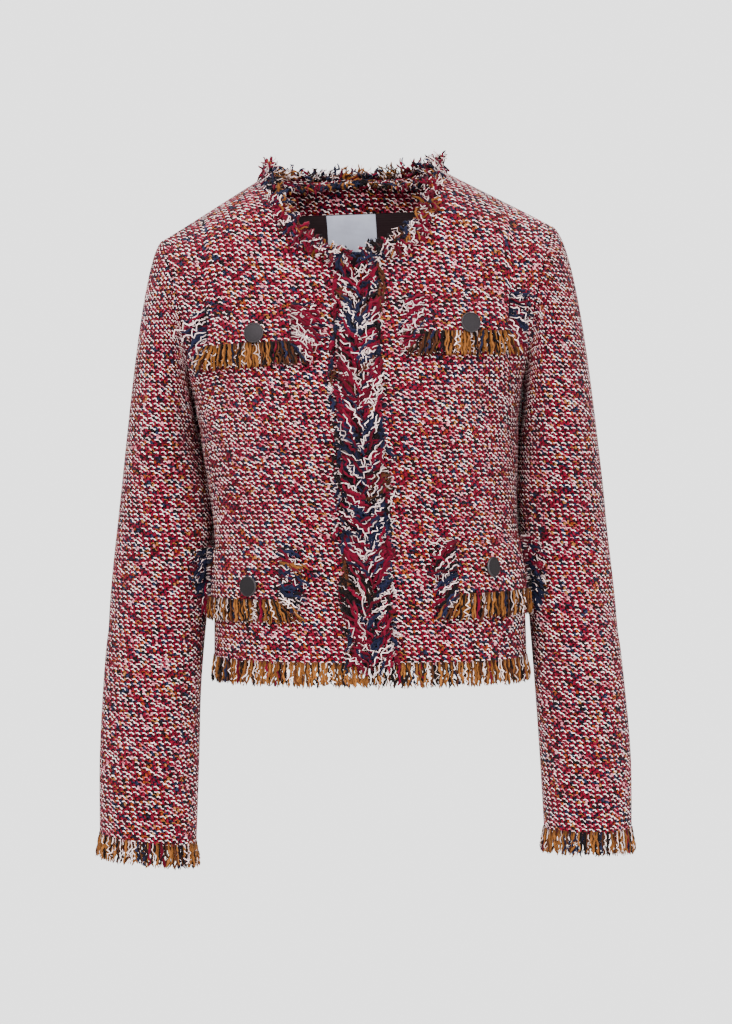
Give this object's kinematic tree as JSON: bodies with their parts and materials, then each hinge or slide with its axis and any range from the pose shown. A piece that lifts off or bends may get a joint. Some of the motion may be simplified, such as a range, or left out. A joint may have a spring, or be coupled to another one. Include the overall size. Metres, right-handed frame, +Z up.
{
  "type": "cropped tweed jacket",
  "caption": "Collarless cropped tweed jacket with frayed edges, flap pockets with dark buttons and long sleeves, hollow and filled out as worn",
  "frame": {"origin": "the middle of the neck opening, level with the neck ends of the shoulder seams, where the wearer's shoulders carry the jacket", "axes": "+Z up, the front faces -Y, the wearer's left is +X"},
  "size_m": [0.5377, 0.2408, 0.7225],
  "materials": {
    "tweed": "bouclé tweed of crimson, navy, off-white, ochre and black-brown yarns",
    "warp_fray": "frayed ochre, off-white and black-brown yarn ends",
    "weft_fray": "frayed crimson, navy and off-white yarn ends",
    "lining": "dark maroon satin lining",
    "label": "plain pale satin label, no lettering",
    "gunmetal": "dark gunmetal, satin"
  },
  "bodies": {
    "root": {"front_right": "tweed", "front_left": "tweed", "back": "tweed", "sleeve_right": "tweed", "sleeve_left": "tweed", "neck_facing": "tweed", "back_lining": "lining", "neck_label": "label", "neck_fringe": "warp_fray", "front_fringe_right": "weft_fray", "front_fringe_left": "weft_fray", "hem_fringe_right": "warp_fray", "hem_fringe_left": "warp_fray", "hem_fringe_back": "warp_fray", "cuff_fringe_right": "warp_fray", "cuff_fringe_left": "warp_fray", "flap_chest_right": "tweed", "flap_chest_left": "tweed", "flap_waist_right": "tweed", "flap_waist_left": "tweed", "flap_fringe_chest_right": "warp_fray", "flap_fringe_chest_left": "warp_fray", "flap_fringe_waist_right": "warp_fray", "flap_fringe_waist_left": "warp_fray", "button_chest_right": "gunmetal", "button_chest_left": "gunmetal", "button_waist_right": "gunmetal", "button_waist_left": "gunmetal"}
  },
  "joints": []
}
